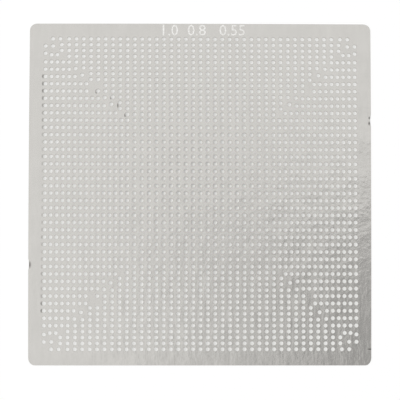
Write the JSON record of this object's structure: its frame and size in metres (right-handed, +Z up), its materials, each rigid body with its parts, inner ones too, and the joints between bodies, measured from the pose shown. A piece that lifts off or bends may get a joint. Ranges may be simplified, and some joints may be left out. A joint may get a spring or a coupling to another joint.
{
  "type": "solder paste stencil",
  "caption": "Thin square steel stencil with rounded corners, pierced all over by a square field of small round apertures for printing solder paste or seating solder balls on a chip.",
  "frame": {"origin": "middle of the underside, which is the bottom centre of the sheet's box", "axes": "+Z is up through the thickness, +Y points to the edge that carries the marking, and +X points right"},
  "size_m": [0.0468, 0.0468, 0.0003],
  "materials": {
    "stainless_sheet": "rolled stainless spring steel, satin"
  },
  "bodies": {
    "root": {"stencil_sheet": "stainless_sheet"}
  },
  "joints": []
}
